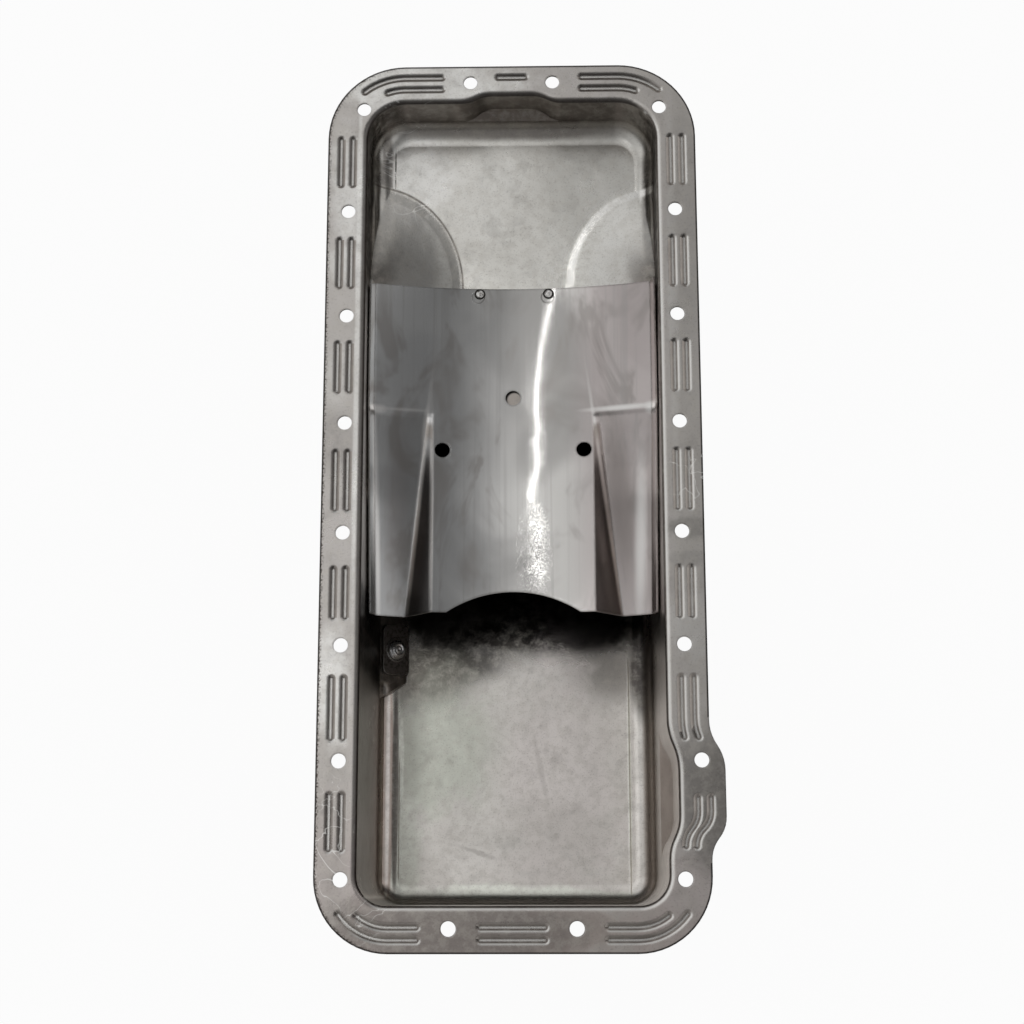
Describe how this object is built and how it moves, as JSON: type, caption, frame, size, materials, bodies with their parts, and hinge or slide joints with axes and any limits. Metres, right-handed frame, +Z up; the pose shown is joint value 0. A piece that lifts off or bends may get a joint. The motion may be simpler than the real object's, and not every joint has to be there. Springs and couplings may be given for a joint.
{
  "type": "engine oil pan",
  "caption": "Pressed steel engine oil pan: flat bolting rail, shallow front floor, deep rear sump, welded windage baffle and angled drain with a screwed plug.",
  "frame": {"origin": "centre of the rail's bolt pattern, on the gasket face: midway between the two side rails, at the middle bolt row", "axes": "+X to the pan's right seen from above with the shallow end forward, +Y toward the shallow front end, +Z up out of the open top"},
  "size_m": [0.248, 0.567, 0.1577],
  "materials": {
    "pan_steel": "bare drawn steel, satin, with brown oil staining",
    "baffle_steel": "bare rolled steel, satin, brighter than the pan",
    "plate_steel": "dark bare steel",
    "plug_steel": "bright plated steel",
    "gasket_rubber": "dull black"
  },
  "bodies": {
    "pan": {"pan_body": "pan_steel", "windage_baffle": "baffle_steel", "drain_plate": "plate_steel"},
    "gasket": {"drain_gasket": "gasket_rubber"},
    "plug": {"drain_plug": "plug_steel"}
  },
  "joints": [
    {"name": "plug_slide", "type": "slide", "parent": "pan", "child": "gasket", "axis": [-0.6428, 0, -0.766], "range_m": [0, 0.00954]},
    {"name": "plug_turn", "type": "hinge", "parent": "gasket", "child": "plug", "pos_m": [-0.0849, -0.1256, -0.14253], "axis": [-0.6428, 0, -0.766], "range_deg": [0, 2700]}
  ],
  "couplings": [
    {"joint": "plug_slide", "follows": "plug_turn", "m_per_rad": 0.00020213}
  ]
}
